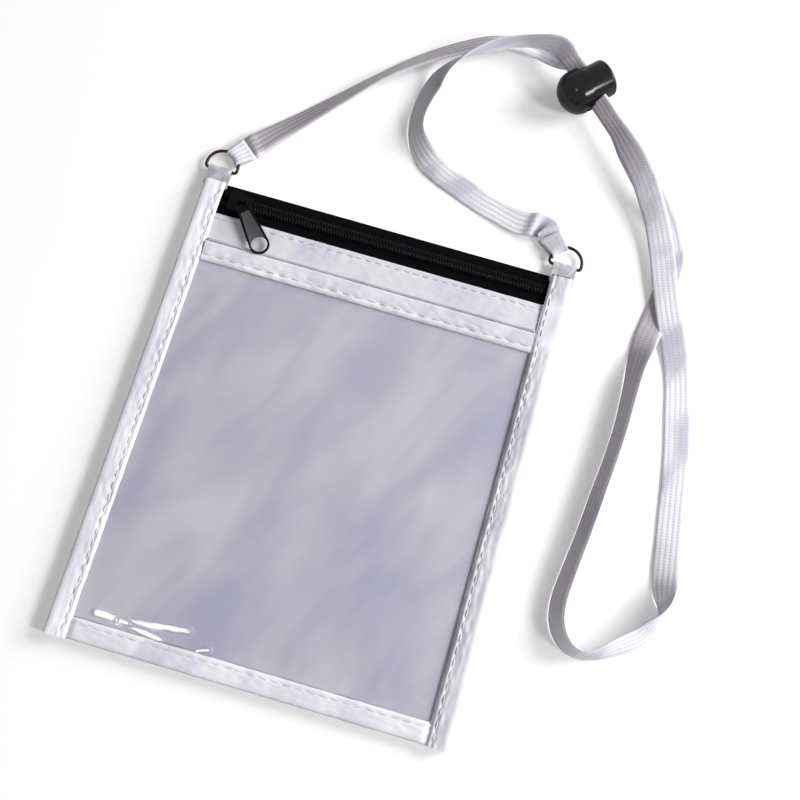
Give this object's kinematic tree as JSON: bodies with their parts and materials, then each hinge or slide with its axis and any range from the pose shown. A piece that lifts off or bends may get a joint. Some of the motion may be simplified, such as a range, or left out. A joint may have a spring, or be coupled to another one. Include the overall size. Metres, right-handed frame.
{
  "type": "neck wallet",
  "caption": "flat zipped neck wallet with a clear front pocket, bound edges and a flat braided neck strap with a cord lock",
  "frame": {"origin": "on the table, under the middle of the pouch with its tabs and rings", "axes": "+X across the pouch to its right side, +Y along it from the closed end to the zip and rings, +Z out of its front"},
  "size_m": [0.2271, 0.2939, 0.0186],
  "materials": {
    "white_nylon": "smooth coated woven nylon",
    "clear_vinyl": "clear soft vinyl film",
    "black_tape": "matte woven zip tape",
    "black_nylon": "moulded nylon teeth",
    "black_metal": "black satin plated casting",
    "dark_bronze": "dark bronze plated wire",
    "white_braid": "flat ribbed braid",
    "black_plastic": "polished black moulding",
    "spring_steel": "bright drawn wire"
  },
  "bodies": {
    "pouch": {"back_panel": "white_nylon", "front_panel": "white_nylon", "window_sheet": "clear_vinyl", "window_top_binding": "white_nylon", "left_side_binding": "white_nylon", "right_side_binding": "white_nylon", "bottom_binding": "white_nylon", "zip_tape_upper": "black_tape", "zip_tape_lower": "black_tape", "zip_chain_upper": "black_nylon", "zip_chain_lower": "black_nylon", "left_ring_tab": "white_nylon", "right_ring_tab": "white_nylon", "strap_left_run": "white_braid", "strap_right_run": "white_braid", "strap_loop": "white_braid"},
    "slider": {"zip_slider": "black_metal"},
    "pull": {"zip_pull": "black_metal"},
    "left_ring": {"left_d_ring": "dark_bronze", "strap_end_left": "white_braid"},
    "right_ring": {"right_d_ring": "dark_bronze", "strap_end_right": "white_braid"},
    "lock": {"cord_lock_barrel": "black_plastic", "cord_lock_spring": "spring_steel"},
    "button": {"cord_lock_button": "black_plastic"}
  },
  "joints": [
    {"name": "zip_slide", "type": "slide", "parent": "pouch", "child": "slider", "axis": [1, 0, 0], "range_m": [0, 0.122], "deforming": ["zip_chain_upper", "zip_chain_lower"]},
    {"name": "pull_lift", "type": "hinge", "parent": "slider", "child": "pull", "pos_m": [-0.0609, 0.08102, 0.0056], "axis": [-0.766, -0.6428, 0], "range_deg": [0, 160]},
    {"name": "left_ring_hinge", "type": "hinge", "parent": "pouch", "child": "left_ring", "pos_m": [-0.07365, 0.09337, 0.0022], "axis": [1, 0, 0], "range_deg": [0, 75]},
    {"name": "right_ring_hinge", "type": "hinge", "parent": "pouch", "child": "right_ring", "pos_m": [0.07365, 0.09337, 0.0022], "axis": [1, 0, 0], "range_deg": [0, 75]},
    {"name": "cord_lock_slide", "type": "slide", "parent": "pouch", "child": "lock", "axis": [0.7133, -0.7009, 0], "range_m": [0, 0.012]},
    {"name": "lock_button_press", "type": "slide", "parent": "lock", "child": "button", "axis": [0.7009, 0.7133, 0], "range_m": [0, 0.002], "stiffness_N_per_m": 600, "deforming": ["cord_lock_spring"]}
  ]
}
